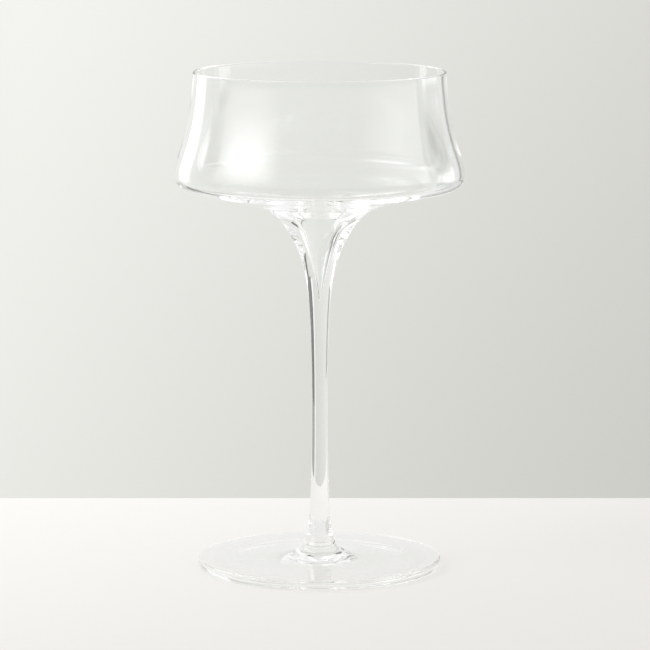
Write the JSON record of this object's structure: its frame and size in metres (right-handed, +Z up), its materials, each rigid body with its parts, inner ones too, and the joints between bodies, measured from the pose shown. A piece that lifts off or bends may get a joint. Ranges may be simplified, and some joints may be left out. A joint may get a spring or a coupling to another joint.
{
  "type": "coupe glass",
  "caption": "Stemmed coupe glass with a wide shallow bowl drawn in towards the lip, a slim stem that flares under it into a hollow trumpet, and a flat round foot.",
  "frame": {"origin": "centre of the foot, on the table that it stands on", "axes": "+Z up along the stem to the bowl's mouth; the glass is round, so +X and +Y are any two square directions"},
  "size_m": [0.1028, 0.1028, 0.178],
  "materials": {
    "clear_glass": "clear, fire-polished"
  },
  "bodies": {
    "root": {"bowl": "clear_glass", "stem": "clear_glass", "foot": "clear_glass"}
  },
  "joints": []
}
